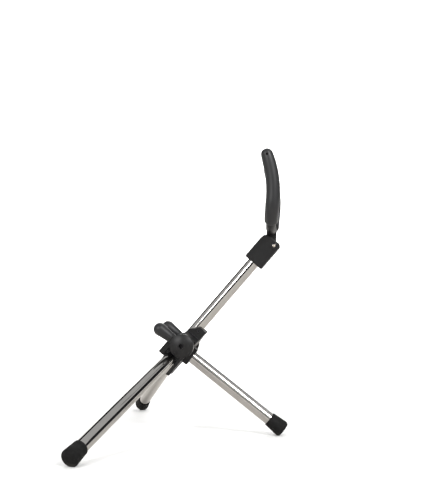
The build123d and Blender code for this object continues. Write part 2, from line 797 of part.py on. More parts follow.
build_hub_body()
build_hub_covers()
build_post()
build_leg_hinges()
for leg_side in (-1, 1):
    build_front_leg(leg_side)
    build_cradle(leg_side)
build_rear_leg()
build_axle()
build_bracket()
build_yoke()
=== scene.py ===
"""Looks for the folding saxophone stand: rubber caps and sleeves, materials, and a plain studio."""
import json
from math import cos, radians, sin

import bpy
import numpy as np
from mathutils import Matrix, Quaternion, Vector


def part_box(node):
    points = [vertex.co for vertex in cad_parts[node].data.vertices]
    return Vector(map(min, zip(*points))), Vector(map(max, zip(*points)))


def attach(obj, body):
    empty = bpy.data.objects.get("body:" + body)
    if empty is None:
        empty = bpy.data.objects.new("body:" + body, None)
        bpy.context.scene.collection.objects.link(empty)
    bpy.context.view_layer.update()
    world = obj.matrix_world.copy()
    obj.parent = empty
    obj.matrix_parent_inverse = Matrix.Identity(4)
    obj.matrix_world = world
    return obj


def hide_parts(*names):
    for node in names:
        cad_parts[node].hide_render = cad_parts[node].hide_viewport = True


bl_info = {
    "name": "Saxophone stand",
    "version": (1, 0, 0),
    "blender": (4, 5, 0),
    "location": "3D View > Sidebar > Stand",
    "description": "Builds the rubber pieces, the materials and the studio of a folding saxophone stand",
    "category": "Object",
}

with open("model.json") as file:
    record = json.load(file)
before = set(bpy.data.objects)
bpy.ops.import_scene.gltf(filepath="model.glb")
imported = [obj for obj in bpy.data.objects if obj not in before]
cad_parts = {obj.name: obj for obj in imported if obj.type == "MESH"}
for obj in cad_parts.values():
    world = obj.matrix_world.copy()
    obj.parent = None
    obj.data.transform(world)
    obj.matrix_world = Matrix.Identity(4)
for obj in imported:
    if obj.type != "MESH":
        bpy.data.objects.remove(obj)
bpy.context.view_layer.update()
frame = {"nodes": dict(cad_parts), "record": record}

SIDES = {-1: "left", 1: "right"}
LEGS = ("front_left_leg", "front_right_leg", "rear_leg")

RING = 64                   # sides of every turned piece
MERGE = 1e-6                # points nearer than this are one
SMOOTH_ANGLE = radians(35)  # sharper edges stay hard
DOME_END = radians(88)      # a round tip's last ring stops just short of its pole
CORE = 0.0002               # radius of the last ring in the middle of a flat end
FLOOR_DROP = 0.0002         # floor below the feet, so that no faces coincide

CLOUDY = {"From_Min": 0.3, "From_Max": 0.7}  # the range that nearly all of a noise pattern falls in
BLEND = {"data_type": "RGBA"}
MIXED_COLOUR = 2            # a blend's outputs share one name, and this is the colour
ROUND_EDGE = {"samples": 4}
DRAWN_OUT = 0.985           # share of a pattern's length that draw lines take out along the tube

MIDDLE = (0.0, 0.0, 0.13)   # middle of the stand, which the cards and lights face
CARD_THICK = 0.004
AIR_LIGHT = 0.7             # strength of the world where it lights the stand
AIR_SEEN = 1.0              # and where it is seen
CAMERA_PLACE = (0.0887, -0.7692, 0.1356)
CAMERA_TURN = (radians(93.456), 0, radians(5.0))
CAMERA_LENS = 56.88         # mm, as is the sensor's width
CAMERA_SENSOR = 36.0
CAMERA_CLIP = 0.01


def length(name, text, default):
    """A size in metres, shown in the scene's unit."""
    return bpy.props.FloatProperty(name=name, description=text, default=default, min=0.0, unit="LENGTH")


def angle(name, text, default):
    """An angle, given in degrees and kept in radians."""
    return bpy.props.FloatProperty(name=name, description=text, default=radians(default), unit="ROTATION")


def colour(name, text, code):
    """A colour, given as a hex code."""
    return bpy.props.FloatVectorProperty(
        name=name, description=text, default=linear(code), size=4, min=0.0, max=1.0, subtype="COLOR"
    )


def linear(code):
    """A hex colour code as linear RGBA."""
    parts = [int(code[i:i + 2], 16) / 255 for i in (1, 3, 5)]
    return tuple(c / 12.92 if c <= 0.04045 else ((c + 0.055) / 1.055) ** 2.4 for c in parts) + (1.0,)


class StandSizes(bpy.types.PropertyGroup):
    """Sizes of the pieces that are modelled here."""
    cap_length: length("Cap length", "Foot cap, from its mouth to its end", 0.0175)
    cap_mouth: length("Cap mouth", "Outer radius of a cap at its mouth", 0.0069)
    cap_end: length("Cap end", "Outer radius of a cap at its end", 0.00828)
    cap_round: length("Cap edge", "Round of a cap's lower edge", 0.003)
    cap_base: length("Cap base", "Rubber under the tube's end", 0.0035)
    cap_recess: length("Cap recess", "Depth of a cap's mouth round the tube", 0.004)
    cap_lip: length("Cap lip", "Depth of the flare inside a cap's mouth", 0.0005)
    cap_soft: length("Cap rim", "Softening of a cap's rim, inside and out", 0.0003)
    cap_fit: length("Cap fit", "Room between a cap and its tube", 0.00005)
    tube_radius: length("Tube radius", "Outer radius of every tube", 0.006)
    sleeve_radius: length("Sleeve radius", "Radius of a yoke sleeve along its middle", 0.0066)
    sleeve_tip_radius: length("Sleeve tip", "Radius of a yoke sleeve at its tip", 0.0058)
    sleeve_lip: length("Sleeve lip", "Round of a sleeve's lower edge", 0.0012)
    sleeve_from: angle("Sleeve start", "Where a sleeve begins on the U's corner", 40.0)
    vent: length("Vent", "Radius of the hole near a sleeve's tip", 0.0011)
    vent_from_tip: length("Vent place", "Vent's distance from the sleeve's tip", 0.0062)
    prong_root: length("Prong root", "Radius of a prong sleeve at the arm", 0.0049)
    prong_tip: length("Prong tip", "Radius of a prong sleeve at its tip", 0.0064)
    prong_length: length("Prong sleeve", "Length of a prong sleeve", 0.0201)
    pin_dome: length("Pin dome", "Radius of the peened end of the yoke's pin", 0.0015)
    pin_dome_height: length("Pin dome height", "Height of the peened end of the yoke's pin", 0.0005)
    yoke_corner: length("Yoke corner", "Radius of the U's corners", 0.024)
    yoke_half: length("Yoke half width", "Middle of the U to an arm's centre line", 0.047)
    yoke_run: length("Yoke run", "Straight run between an arm's corner and its bend", 0.001)
    yoke_bend: length("Yoke bend", "Radius of the arms' bend", 0.1)
    yoke_straight: length("Yoke end", "Straight end of each arm", 0.0062)
    yoke_out: angle("Yoke lean", "Lean of the U away from the instrument", 5.0)
    yoke_in: angle("Yoke tip lean", "Lean of the arms' ends towards the instrument", 15.5)
    yoke_base: bpy.props.FloatVectorProperty(
        name="Yoke base", description="Middle of the U's lowest run", default=(0.0747, 0.0, 0.1988),
        size=3, subtype="TRANSLATION"
    )


class StandColours(bpy.types.PropertyGroup):
    """Colours of the materials."""
    chrome: colour("Chrome", "Bright plating", "#b7b5b2")
    nickel: colour("Nickel", "Peened pin ends and rivets", "#cfc8bd")
    # Painted shade: the screws, the post rivet and the yoke pin take this dark steel so that they are as
    # dark as the shade in their recesses.
    steel: colour("Steel", "Blacked screws", "#3b3b3e")
    plastic: colour("Plastic", "Moulded hub and bracket", "#0d0d0e")
    rubbed: colour("Rubbed plastic", "Worn edges of the mouldings", "#3c3c3f")
    cap_rubber: colour("Cap rubber", "Feet", "#0f0f0f")
    sleeve_rubber: colour("Sleeve rubber", "Yoke and prong sleeves", "#101114")
    nylon: colour("Nylon", "Washers", "#2a2a2a")
    dust: colour("Dust", "Floor dust on the feet", "#6b675f")
    paper: colour("Paper", "Floor and backdrop", "#f6f6f5")
    flag: colour("Flag", "Dark cards of the studio", "#1c1b1d")
    floor_tone: colour("Floor tone", "Floor as the chrome sees it", "#d9d5d0")


def sizes():
    """The sizes of this scene."""
    return bpy.context.scene.stand_sizes


def colours():
    """The colours of this scene."""
    return bpy.context.scene.stand_colours


# ---------------------------------------------------------------- materials

def join(tree, node, **inputs):
    """Link or set a node's inputs, by name with _ for a space, or by number as i0, i1 and so on."""
    for key, value in inputs.items():
        numbered = key[0] == "i" and key[1:].isdigit()
        socket = node.inputs[int(key[1:]) if numbered else key.replace("_", " ")]
        if isinstance(value, bpy.types.NodeSocket):
            tree.links.new(value, socket)
        else:
            socket.default_value = value


def add(tree, kind, output=None, settings=None, **inputs):
    """Add a node with its settings and links, and return the output that is named, or else the node."""
    node = tree.nodes.new(kind)
    for key, value in (settings or {}).items():
        setattr(node, key, value)
    join(tree, node, **inputs)
    return node if output is None else node.outputs[output]


def new_material(name):
    """An empty node material: itself, its tree, its principled shader and object coordinates in metres."""
    material = bpy.data.materials.new(name)
    material.use_nodes = True
    tree = material.node_tree
    tree.nodes.clear()
    shader = add(tree, "ShaderNodeBsdfPrincipled")
    add(tree, "ShaderNodeOutputMaterial", Surface=shader.outputs[0])
    return material, tree, shader, add(tree, "ShaderNodeTexCoord", "Object")


def two_tone(tree, clouds, rgba, share):
    """A colour that drifts with a cloud pattern towards a darker share of itself."""
    shade = tuple(c * share for c in rgba[:3]) + (1.0,)
    drift = add(tree, "ShaderNodeMapRange", "Result", Value=clouds, **CLOUDY)
    return add(tree, "ShaderNodeMix", MIXED_COLOUR, BLEND, i0=drift, i6=tuple(rgba), i7=shade)


def soft_edges(tree, radius, height, strength, distance):
    """A rounded edge for the light, with a fine bump on it."""
    edge = add(tree, "ShaderNodeBevel", "Normal", ROUND_EDGE, Radius=radius)
    return add(
        tree, "ShaderNodeBump", "Normal", Strength=strength, Distance=distance, Height=height, Normal=edge
    )


def chromed_tube(name, direction):
    """Bright chrome on drawn steel tube: draw lines run along it and the plating is slightly uneven."""
    material, tree, shader, spot = new_material(name)
    along = tuple(direction)
    # Draw lines 0.4 mm apart and some 30 mm long break the reflections into fine streaks, so the pattern's
    # coordinates are squeezed to a small share along the tube.
    reach = add(tree, "ShaderNodeVectorMath", "Value", {"operation": "DOT_PRODUCT"}, i0=spot, i1=along)
    run = add(tree, "ShaderNodeVectorMath", "Vector", {"operation": "SCALE"}, i0=along, Scale=reach)
    most = add(tree, "ShaderNodeVectorMath", "Vector", {"operation": "SCALE"}, i0=run, Scale=DRAWN_OUT)
    squeezed = add(tree, "ShaderNodeVectorMath", "Vector", {"operation": "SUBTRACT"}, i0=spot, i1=most)
    lines = add(tree, "ShaderNodeTexNoise", "Fac", Vector=squeezed, Scale=1 / 0.0004, Detail=3.0)
    # Handling leaves faint clouds, a centimetre or so across, that dull the plating a little.
    clouds = add(tree, "ShaderNodeTexNoise", "Fac", Vector=spot, Scale=1 / 0.011, Detail=3.0)
    drawn = add(tree, "ShaderNodeMapRange", "Result", Value=lines, **CLOUDY, To_Min=0.035, To_Max=0.075)
    dulled = add(
        tree, "ShaderNodeMapRange", "Result",
        Value=clouds, From_Min=0.45, From_Max=0.8, To_Min=0.0, To_Max=0.05
    )
    rough = add(tree, "ShaderNodeMath", "Value", {"operation": "ADD"}, i0=drawn, i1=dulled)
    tint = two_tone(tree, clouds, colours().chrome, share=0.9)
    bump = add(tree, "ShaderNodeBump", "Normal", Strength=0.05, Distance=0.00005, Height=lines)
    join(tree, shader, Base_Color=tint, Metallic=1.0, Roughness=rough, Normal=bump)
    return material


def moulded_plastic():
    """Black nylon moulding from a spark-eroded tool: a fine even grain and rubbed, paler edges."""
    material, tree, shader, spot = new_material("moulded_black_nylon")
    # The eroded grain is about 0.35 mm and gives the satin, slightly broken highlight.
    grain = add(tree, "ShaderNodeTexNoise", "Fac", Vector=spot, Scale=1 / 0.00035, Detail=3.0)
    # The melt flowed unevenly, which shows as 9 mm clouds of slightly duller black.
    flow = add(tree, "ShaderNodeTexNoise", "Fac", Vector=spot, Scale=1 / 0.009, Detail=4.0)
    rough = add(tree, "ShaderNodeMapRange", "Result", Value=flow, **CLOUDY, To_Min=0.38, To_Max=0.48)
    # Where the rounded normal leaves the true one there is an edge, and edges are rubbed in patches.
    edge = add(tree, "ShaderNodeBevel", "Normal", ROUND_EDGE, Radius=0.0005)
    flat = add(tree, "ShaderNodeNewGeometry", "Normal")
    alike = add(tree, "ShaderNodeVectorMath", "Value", {"operation": "DOT_PRODUCT"}, i0=edge, i1=flat)
    at_edge = add(
        tree, "ShaderNodeMapRange", "Result",
        Value=alike, From_Min=0.80, From_Max=0.99, To_Min=1.0, To_Max=0.0
    )
    patches = add(tree, "ShaderNodeMapRange", "Result", Value=flow, **CLOUDY, To_Min=0.15, To_Max=0.8)
    rubbed = add(tree, "ShaderNodeMath", "Value", {"operation": "MULTIPLY"}, i0=at_edge, i1=patches)
    black = two_tone(tree, flow, colours().plastic, share=0.72)
    worn = add(tree, "ShaderNodeMix", MIXED_COLOUR, BLEND, i0=rubbed, i6=black, i7=tuple(colours().rubbed))
    normal = soft_edges(tree, 0.0006, grain, strength=0.22, distance=0.00006)
    join(tree, shader, Base_Color=worn, Roughness=rough, Normal=normal, Specular_IOR_Level=0.38)
    return material


def cap_rubber():
    """Black rubber pressed in a matt tool: dull, with floor dust worn into the lower edge."""
    material, tree, shader, spot = new_material("pressed_black_rubber")
    # A 0.5 mm grain from the tool, and 4 mm smears where hands and floors have polished it.
    grain = add(tree, "ShaderNodeTexNoise", "Fac", Vector=spot, Scale=1 / 0.0005, Detail=4.0)
    smear = add(tree, "ShaderNodeTexNoise", "Fac", Vector=spot, Scale=1 / 0.004, Detail=4.0)
    rough = add(tree, "ShaderNodeMapRange", "Result", Value=smear, **CLOUDY, To_Min=0.62, To_Max=0.8)
    # Dust gathers in the lowest 3 mm, where the foot meets the floor, in broken patches.
    height = add(tree, "ShaderNodeSeparateXYZ", "Z", Vector=spot)
    low = add(
        tree, "ShaderNodeMapRange", "Result",
        Value=height, From_Min=0.0005, From_Max=0.0035, To_Min=1.0, To_Max=0.0
    )
    patches = add(tree, "ShaderNodeMapRange", "Result", Value=smear, **CLOUDY, To_Max=0.35)
    dusty = add(tree, "ShaderNodeMath", "Value", {"operation": "MULTIPLY"}, i0=low, i1=patches)
    black = two_tone(tree, smear, colours().cap_rubber, share=0.7)
    tint = add(tree, "ShaderNodeMix", MIXED_COLOUR, BLEND, i0=dusty, i6=black, i7=tuple(colours().dust))
    normal = soft_edges(tree, 0.0004, grain, strength=0.3, distance=0.00008)
    join(tree, shader, Base_Color=tint, Roughness=rough, Normal=normal, Specular_IOR_Level=0.2)
    return material


def sleeve_rubber():
    """Dip-moulded rubber sleeve: satin skin with faint pitting and a soft sheen at grazing angles."""
    material, tree, shader, spot = new_material("dipped_black_rubber")
    # Pits 0.7 mm apart break the long highlight, and 12 mm clouds vary its width.
    pits = add(tree, "ShaderNodeTexNoise", "Fac", Vector=spot, Scale=1 / 0.0007, Detail=3.0)
    haze = add(tree, "ShaderNodeTexNoise", "Fac", Vector=spot, Scale=1 / 0.012, Detail=4.0)
    rough = add(tree, "ShaderNodeMapRange", "Result", Value=haze, **CLOUDY, To_Min=0.40, To_Max=0.52)
    tint = two_tone(tree, haze, colours().sleeve_rubber, share=0.75)
    normal = soft_edges(tree, 0.0004, pits, strength=0.16, distance=0.00008)
    join(tree, shader, Base_Color=tint, Roughness=rough, Normal=normal)
    join(tree, shader, Sheen_Weight=0.05, Sheen_Roughness=0.5)
    return material


def turned_metal(name, rgba, shiny, dull):
    """Turned fastener, plated, or dark steel whose dark colour is painted shade: fine tool marks and a
    slightly clouded surface.
    """
    material, tree, shader, spot = new_material(name)
    # Tool marks 0.25 mm apart give a fine sparkle, and 1.5 mm clouds an uneven shine.
    marks = add(tree, "ShaderNodeTexNoise", "Fac", Vector=spot, Scale=1 / 0.00025, Detail=3.0)
    clouds = add(tree, "ShaderNodeTexNoise", "Fac", Vector=spot, Scale=1 / 0.0015, Detail=3.0)
    rough = add(tree, "ShaderNodeMapRange", "Result", Value=clouds, **CLOUDY, To_Min=shiny, To_Max=dull)
    tint = two_tone(tree, clouds, rgba, share=0.8)
    normal = soft_edges(tree, 0.0003, marks, strength=0.12, distance=0.00004)
    join(tree, shader, Base_Color=tint, Metallic=1.0, Roughness=rough, Normal=normal)
    return material


def washer_nylon():
    """Punched nylon washer: waxy, with a slightly lighter worn face."""
    material, tree, shader, spot = new_material("punched_nylon")
    # Wear in 1.2 mm patches, the size of the high spots of the faces it rubs on.
    wear = add(tree, "ShaderNodeTexNoise", "Fac", Vector=spot, Scale=1 / 0.0012, Detail=3.0)
    rough = add(tree, "ShaderNodeMapRange", "Result", Value=wear, **CLOUDY, To_Min=0.45, To_Max=0.6)
    tint = two_tone(tree, wear, colours().nylon, share=0.6)
    normal = soft_edges(tree, 0.0002, wear, strength=0.1, distance=0.00005)
    join(tree, shader, Base_Color=tint, Roughness=rough, Normal=normal)
    return material


def studio_paper(name, rgba):
    """Matt studio paper with a very faint 50 mm mottle, so that it isn't a flat tone."""
    material, tree, shader, spot = new_material(name)
    mottle = add(tree, "ShaderNodeTexNoise", "Fac", Vector=spot, Scale=1 / 0.05, Detail=3.0)
    tint = two_tone(tree, mottle, rgba, share=0.985)
    join(tree, shader, Base_Color=tint, Roughness=0.9, Specular_IOR_Level=0.1)
    return material


def give(item, material):
    """Make a material an object's only one."""
    item.data.materials.clear()
    item.data.materials.append(material)


def put(by_slot):
    """Put materials on the CAD nodes whose record slot they are for."""
    for row in frame["record"]["subparts"]:
        material = by_slot.get(row["material_slot"])
        item = frame["nodes"].get(row["node"])
        if material and item:
            give(item, material)


# ---------------------------------------------------------------- modelling

def tube_axis(node):
    """Centre line of a straight round node: its two ends, the higher one first."""
    item = frame["nodes"][node]
    points = np.array([item.matrix_world @ v.co for v in item.data.vertices])
    centre = points.mean(axis=0)
    direction = np.linalg.svd(points - centre, full_matrices=False)[2][0]
    reach = (points - centre) @ direction
    return sorted((Vector(centre + direction * r) for r in (reach.min(), reach.max())), key=lambda p: -p.z)


def start_ring(name, centre, direction, radius):
    """A ring of points square to a direction, ready to be drawn out in edit mode."""
    bpy.ops.object.select_all(action="DESELECT")
    bpy.ops.mesh.primitive_circle_add(
        vertices=RING, radius=radius, fill_type="NGON", location=(0, 0, 0), rotation=(0, 0, 0)
    )
    piece = bpy.context.object
    piece.name = name
    piece.data.name = name
    piece.location = centre
    piece.rotation_euler = direction.to_track_quat("Z", "Y").to_euler()
    bpy.ops.object.transform_apply(location=True, rotation=True, scale=True)
    bpy.ops.object.mode_set(mode="EDIT")
    bpy.ops.mesh.select_mode(type="VERT")
    bpy.ops.mesh.select_all(action="SELECT")
    return piece


def resize(centre, ratio):
    """Scale the selected ring about its centre."""
    if abs(ratio - 1) > 1e-6:
        bpy.ops.transform.resize(value=(ratio, ratio, ratio), center_override=centre)


def step(centre, move, ratio):
    """Draw the selected ring out by a move, then scale it about its new centre."""
    bpy.ops.mesh.extrude_region_move(TRANSFORM_OT_translate={"value": move})
    resize(centre + move, ratio)
    return centre + move


def swing_step(centre, middle, axis, turn, ratio):
    """Draw the selected ring round an axis, then scale it about its new centre."""
    # The spin operator turns the other way round its axis than a quaternion does.
    bpy.ops.mesh.spin(steps=1, angle=-turn, center=middle, axis=axis)
    centre = middle + Quaternion(axis, turn) @ (centre - middle)
    resize(centre, ratio)
    return centre


def smooth(piece):
    """Shade the active piece smooth where its faces meet gently, and apply its modifiers."""
    bpy.ops.object.shade_smooth_by_angle(angle=SMOOTH_ANGLE)
    for item in list(piece.modifiers):
        bpy.ops.object.modifier_apply(modifier=item.name)


def close_and_smooth(piece):
    """Leave edit mode with merged points, outward normals and smooth faces."""
    bpy.ops.mesh.select_all(action="SELECT")
    bpy.ops.mesh.remove_doubles(threshold=MERGE)
    bpy.ops.mesh.normals_make_consistent(inside=False)
    bpy.ops.object.mode_set(mode="OBJECT")
    smooth(piece)


def turned(name, origin, direction, profile):
    """A round solid drawn out ring by ring; the profile gives distances and radii along its axis."""
    first, radius = profile[0]
    centre = origin + direction * first
    piece = start_ring(name, centre, direction, radius)
    for (here, this_radius), (there, next_radius) in zip(profile, profile[1:]):
        centre = step(centre, direction * (there - here), next_radius / this_radius)
    close_and_smooth(piece)
    return piece


def corner_rows(start, radius, corner, steps):
    """Distances and radii of a quarter round at the end of a turned piece."""
    swings = [radians(90) * index / steps for index in range(1, steps + 1)]
    return [(start + corner * sin(swing), radius - corner + corner * cos(swing)) for swing in swings]


def dome_rows(start, radius, height, steps):
    """Distances and radii of a domed tip."""
    swings = [DOME_END * index / steps for index in range(1, steps + 1)]
    return [(start + height * sin(swing), radius * cos(swing)) for swing in swings]


def finish_piece(piece, body, material, node=None):
    """Give a piece its material and its body, and let it stand for a CAD node if there is one."""
    give(piece, material)
    if node:
        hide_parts(node)
    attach(piece, body)


def build_cap(leg, material):
    """A foot cap: flared skirt with a soft rim, a rounded lower edge and a flat where it stands."""
    s = sizes()
    start, end = tube_axis(f"{leg}_tube")
    direction = (end - start).normalized()
    mouth = (end - start).length + s.cap_base - s.cap_length
    far = mouth + s.cap_length
    flare = (s.cap_end - s.cap_mouth) / s.cap_length
    wide = s.cap_end - flare * s.cap_round
    bore = s.tube_radius + s.cap_fit
    profile = [
        (mouth + s.cap_recess, bore),
        (mouth + s.cap_lip, bore),
        (mouth, s.tube_radius + s.cap_soft),
        (mouth, s.cap_mouth - s.cap_soft),
        (mouth + s.cap_soft, s.cap_mouth),
        (mouth + 0.5 * s.cap_length, 0.5 * (s.cap_mouth + s.cap_end)),
        (far - s.cap_round, wide),
    ]
    profile += corner_rows(far - s.cap_round, wide, s.cap_round, 7)
    profile += [(far, 0.6 * (wide - s.cap_round)), (far, CORE)]
    piece = turned(f"{leg}_cap_rubber", start, direction, profile)
    # The floor takes off what would be below it.
    bpy.ops.object.mode_set(mode="EDIT")
    bpy.ops.mesh.select_all(action="SELECT")
    bpy.ops.mesh.bisect(
        plane_co=(0, 0, 0), plane_no=(0, 0, 1), use_fill=True, clear_inner=True, threshold=MERGE
    )
    close_and_smooth(piece)
    finish_piece(piece, leg, material, f"{leg}_cap")


def yoke_arm(side):
    """Directions of one arm, and the centres of its corner and of its bend."""
    s = sizes()
    out, turn = s.yoke_out, s.yoke_out + s.yoke_in
    rise = Vector((sin(out), 0, cos(out)))
    left = Vector((-cos(out), 0, sin(out)))
    across = Vector((0, side, 0))
    corner = Vector(s.yoke_base) + across * (s.yoke_half - s.yoke_corner) + rise * s.yoke_corner
    bend = corner + across * s.yoke_corner + rise * s.yoke_run + left * s.yoke_bend
    end_direction = rise * cos(turn) + left * sin(turn)
    return rise, left, across, corner, bend, end_direction


def build_yoke_sleeve(side, material):
    """A sleeve drawn along the arm: thick in the middle, tapered to a round tip with a vent."""
    s = sizes()
    rise, left, across, corner, bend, end_direction = yoke_arm(side)
    begin = s.sleeve_from
    radius = s.sleeve_radius - s.sleeve_lip
    centre = corner + (across * sin(begin) - rise * cos(begin)) * s.yoke_corner
    direction = across * cos(begin) + rise * sin(begin)
    piece = start_ring(f"yoke_sleeve_{SIDES[side]}_rubber", centre, direction, radius)

    # Round the U's corner: first the sleeve's rounded lower edge, then even steps. Each row is an angle
    # turned and the radius that the ring then has.
    corner_steps, lip_steps = 10, 4
    lip_turn = s.sleeve_lip / s.yoke_corner
    rows = []
    done = 0.0
    for index in range(1, lip_steps + 1):
        swing = radians(90) * index / lip_steps
        here = lip_turn * (1 - cos(swing))
        rows.append((here - done, s.sleeve_radius - s.sleeve_lip * (1 - sin(swing))))
        done = here
    rows += [((radians(90) - begin - lip_turn) / corner_steps, s.sleeve_radius)] * corner_steps
    corner_axis = across.cross(rise)
    for turn, next_radius in rows:
        centre = swing_step(centre, corner, corner_axis, turn, next_radius / radius)
        radius = next_radius
    centre = step(centre, rise * s.yoke_run, 1.0)

    # Along the bend a third of the taper, along the straight end the rest.
    bend_steps, end_steps = 10, 5
    bend_share = 0.35
    bend_axis = rise.cross(left)
    bend_turn = (s.yoke_out + s.yoke_in) / bend_steps
    taper = s.sleeve_radius - s.sleeve_tip_radius
    for index in range(1, bend_steps + 1):
        next_radius = s.sleeve_radius - taper * bend_share * (index / bend_steps) ** 2
        centre = swing_step(centre, bend, bend_axis, bend_turn, next_radius / radius)
        radius = next_radius
    end_reach = s.yoke_straight + s.sleeve_radius - s.sleeve_tip_radius
    for index in range(1, end_steps + 1):
        next_radius = s.sleeve_radius - taper * (bend_share + (1 - bend_share) * index / end_steps)
        centre = step(centre, end_direction * end_reach / end_steps, next_radius / radius)
        radius = next_radius

    done = 0.0
    for here, next_radius in dome_rows(0.0, s.sleeve_tip_radius, s.sleeve_tip_radius, 8):
        centre = step(centre, end_direction * (here - done), next_radius / radius)
        done, radius = here, next_radius
    close_and_smooth(piece)
    cut_vent(piece, centre - end_direction * s.vent_from_tip + across * s.sleeve_tip_radius, across)
    finish_piece(piece, "yoke", material, f"yoke_sleeve_{SIDES[side]}")


def cut_vent(piece, centre, outwards):
    """Cut a small tapered hole, square to the surface."""
    s = sizes()
    # From outside the sleeve to its surface, then a taper to the hole's floor.
    profile = [
        (-0.003, s.vent * 1.2), (0.0, s.vent * 1.2), (0.0007, s.vent), (0.0022, s.vent * 0.8),
        (0.0026, s.vent * 0.3),
    ]
    cutter = turned("vent_cutter", centre, -outwards, profile)
    bpy.ops.object.select_all(action="DESELECT")
    bpy.context.view_layer.objects.active = piece
    piece.select_set(True)
    cut = piece.modifiers.new("vent", "BOOLEAN")
    cut.operation = "DIFFERENCE"
    cut.solver = "EXACT"
    cut.object = cutter
    bpy.ops.object.modifier_apply(modifier=cut.name)
    bpy.data.objects.remove(cutter)
    smooth(piece)


def build_prong_sleeve(side, material):
    """A prong's sleeve: a slightly flared tube with a full round tip and a soft mouth."""
    s = sizes()
    top, bottom = tube_axis(f"prong_rod_{SIDES[side]}")
    direction = (top - bottom).normalized()
    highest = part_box(f"prong_sleeve_{SIDES[side]}")[1][2]
    # The highest point is on the round tip, straight above the middle of its round.
    round_start = (highest - s.prong_tip - bottom.z) / direction.z
    start = round_start + s.prong_tip - s.prong_length
    soft, softer = 0.0007, 0.0002
    flare_reach, flare_share = 0.007, 0.45
    profile = [
        (start, s.prong_root - soft),
        (start + softer, s.prong_root - softer),
        (start + soft, s.prong_root),
        (start + flare_reach, s.prong_root + (s.prong_tip - s.prong_root) * flare_share),
        (round_start, s.prong_tip),
    ]
    profile += dome_rows(round_start, s.prong_tip, s.prong_tip, 9)
    piece = turned(f"prong_sleeve_{SIDES[side]}_rubber", bottom, direction, profile)
    finish_piece(piece, "rear_leg", material, f"prong_sleeve_{SIDES[side]}")


def build_pin_domes(material):
    """The peened ends of the yoke's pin: small bright domes in the middle of its heads, which are painted
    dark for the shade round them.
    """
    s = sizes()
    ends = tube_axis("yoke_pin")
    middle = (ends[0] + ends[1]) / 2
    sunk, proud = 0.0004, 0.0001
    for end in ends:
        outwards = (end - middle).normalized()
        name = SIDES[-1 if outwards.y < 0 else 1]
        profile = [(-sunk, s.pin_dome), (proud, s.pin_dome)]
        profile += dome_rows(proud, s.pin_dome, s.pin_dome_height, 6)
        piece = turned(f"yoke_pin_dome_{name}", end, outwards, profile)
        finish_piece(piece, "frame", material)


# ---------------------------------------------------------------- studio

# Cards that only reflections see. Each darkens one edge or streak of the tubes: name, centre, what it
# faces, width and height.
CARDS = (
    ("card_upper_left", (-0.78, 0.60, 0.93), MIDDLE, 0.9, 0.8),                 # post's upper edge
    ("card_upper_back", (0.47, 0.92, 0.86), MIDDLE, 0.75, 0.5),                 # rear leg's upper edge
    ("card_right", (1.10, 0.35, 0.47), MIDDLE, 0.55, 0.7),                      # front legs' right half
    ("card_front", (0.15, -1.25, 0.05), MIDDLE, 1.6, 0.13),                     # streak along the front legs
    ("card_post", (-0.12, -1.135, 0.365), (0.035, 0.0, 0.14), 0.46, 0.46),      # line down the post
    ("card_behind", (0.05, 1.2, 0.2), MIDDLE, 1.0, 0.45),                       # plastic seen almost edge on
)

# Soft lights: name, centre, what it faces, size and power. The key makes the rear leg's white band, the
# fill makes the post's, and the last one is for the backdrop.
LIGHTS = (
    ("key", (1.16, -1.28, 1.29), (0.1, 0.0, 0.07), 0.55, 24.0),
    ("fill", (-0.76, -1.6, 0.92), (0.03, 0.0, 0.14), 0.5, 14.0),
    ("back", (0.4, 1.4, 1.6), MIDDLE, 1.0, 8.0),
    ("wall", (0.0, 1.2, 2.6), (0.0, 4.4, 1.2), 2.0, 260.0),
)


def build_floor():
    """Floor and backdrop in one sweep of paper, curved where they meet."""
    half, sweep, wall = 3.0, 1.5, 3.0
    bpy.ops.object.select_all(action="DESELECT")
    bpy.ops.mesh.primitive_plane_add(size=2 * half, location=(0, 0, -FLOOR_DROP))
    floor = bpy.context.object
    floor.name = "paper_sweep"
    bpy.ops.object.transform_apply(location=True, rotation=True, scale=True)
    bpy.ops.object.mode_set(mode="EDIT")
    bpy.ops.mesh.select_mode(type="EDGE")
    bpy.ops.mesh.select_all(action="DESELECT")
    bpy.ops.object.mode_set(mode="OBJECT")
    for edge in floor.data.edges:
        edge.select = all(floor.data.vertices[v].co.y > half - 0.1 for v in edge.vertices)
    bpy.ops.object.mode_set(mode="EDIT")
    bpy.ops.mesh.spin(steps=16, angle=radians(-90), center=(0, half, sweep), axis=(1, 0, 0))
    bpy.ops.mesh.extrude_region_move(TRANSFORM_OT_translate={"value": (0, 0, wall)})
    bpy.ops.mesh.select_all(action="SELECT")
    bpy.ops.mesh.remove_doubles(threshold=1e-5)
    bpy.ops.mesh.normals_make_consistent(inside=False)
    bpy.ops.object.mode_set(mode="OBJECT")
    bpy.ops.object.shade_smooth()
    floor.data.materials.append(studio_paper("studio_paper", colours().paper))


def build_card(name, centre, look_at, width, height, tone):
    """A card of a tone that only reflections see."""
    bpy.ops.object.select_all(action="DESELECT")
    bpy.ops.mesh.primitive_plane_add(size=1.0)
    card = bpy.context.object
    card.name = name
    away = Vector(centre) - Vector(look_at)
    card.scale = (width, height, 1.0)
    card.rotation_euler = (-away).to_track_quat("Z", "Y").to_euler()
    card.location = centre
    bpy.ops.object.transform_apply(location=True, rotation=True, scale=True)
    bpy.ops.object.mode_set(mode="EDIT")
    bpy.ops.mesh.select_all(action="SELECT")
    bpy.ops.mesh.extrude_region_move(TRANSFORM_OT_translate={"value": away.normalized() * CARD_THICK})
    bpy.ops.mesh.select_all(action="SELECT")
    bpy.ops.mesh.normals_make_consistent(inside=False)
    bpy.ops.object.mode_set(mode="OBJECT")
    card.data.materials.append(studio_paper("paper_" + name, tone))
    card.visible_camera = False
    card.visible_shadow = False
    card.visible_diffuse = False


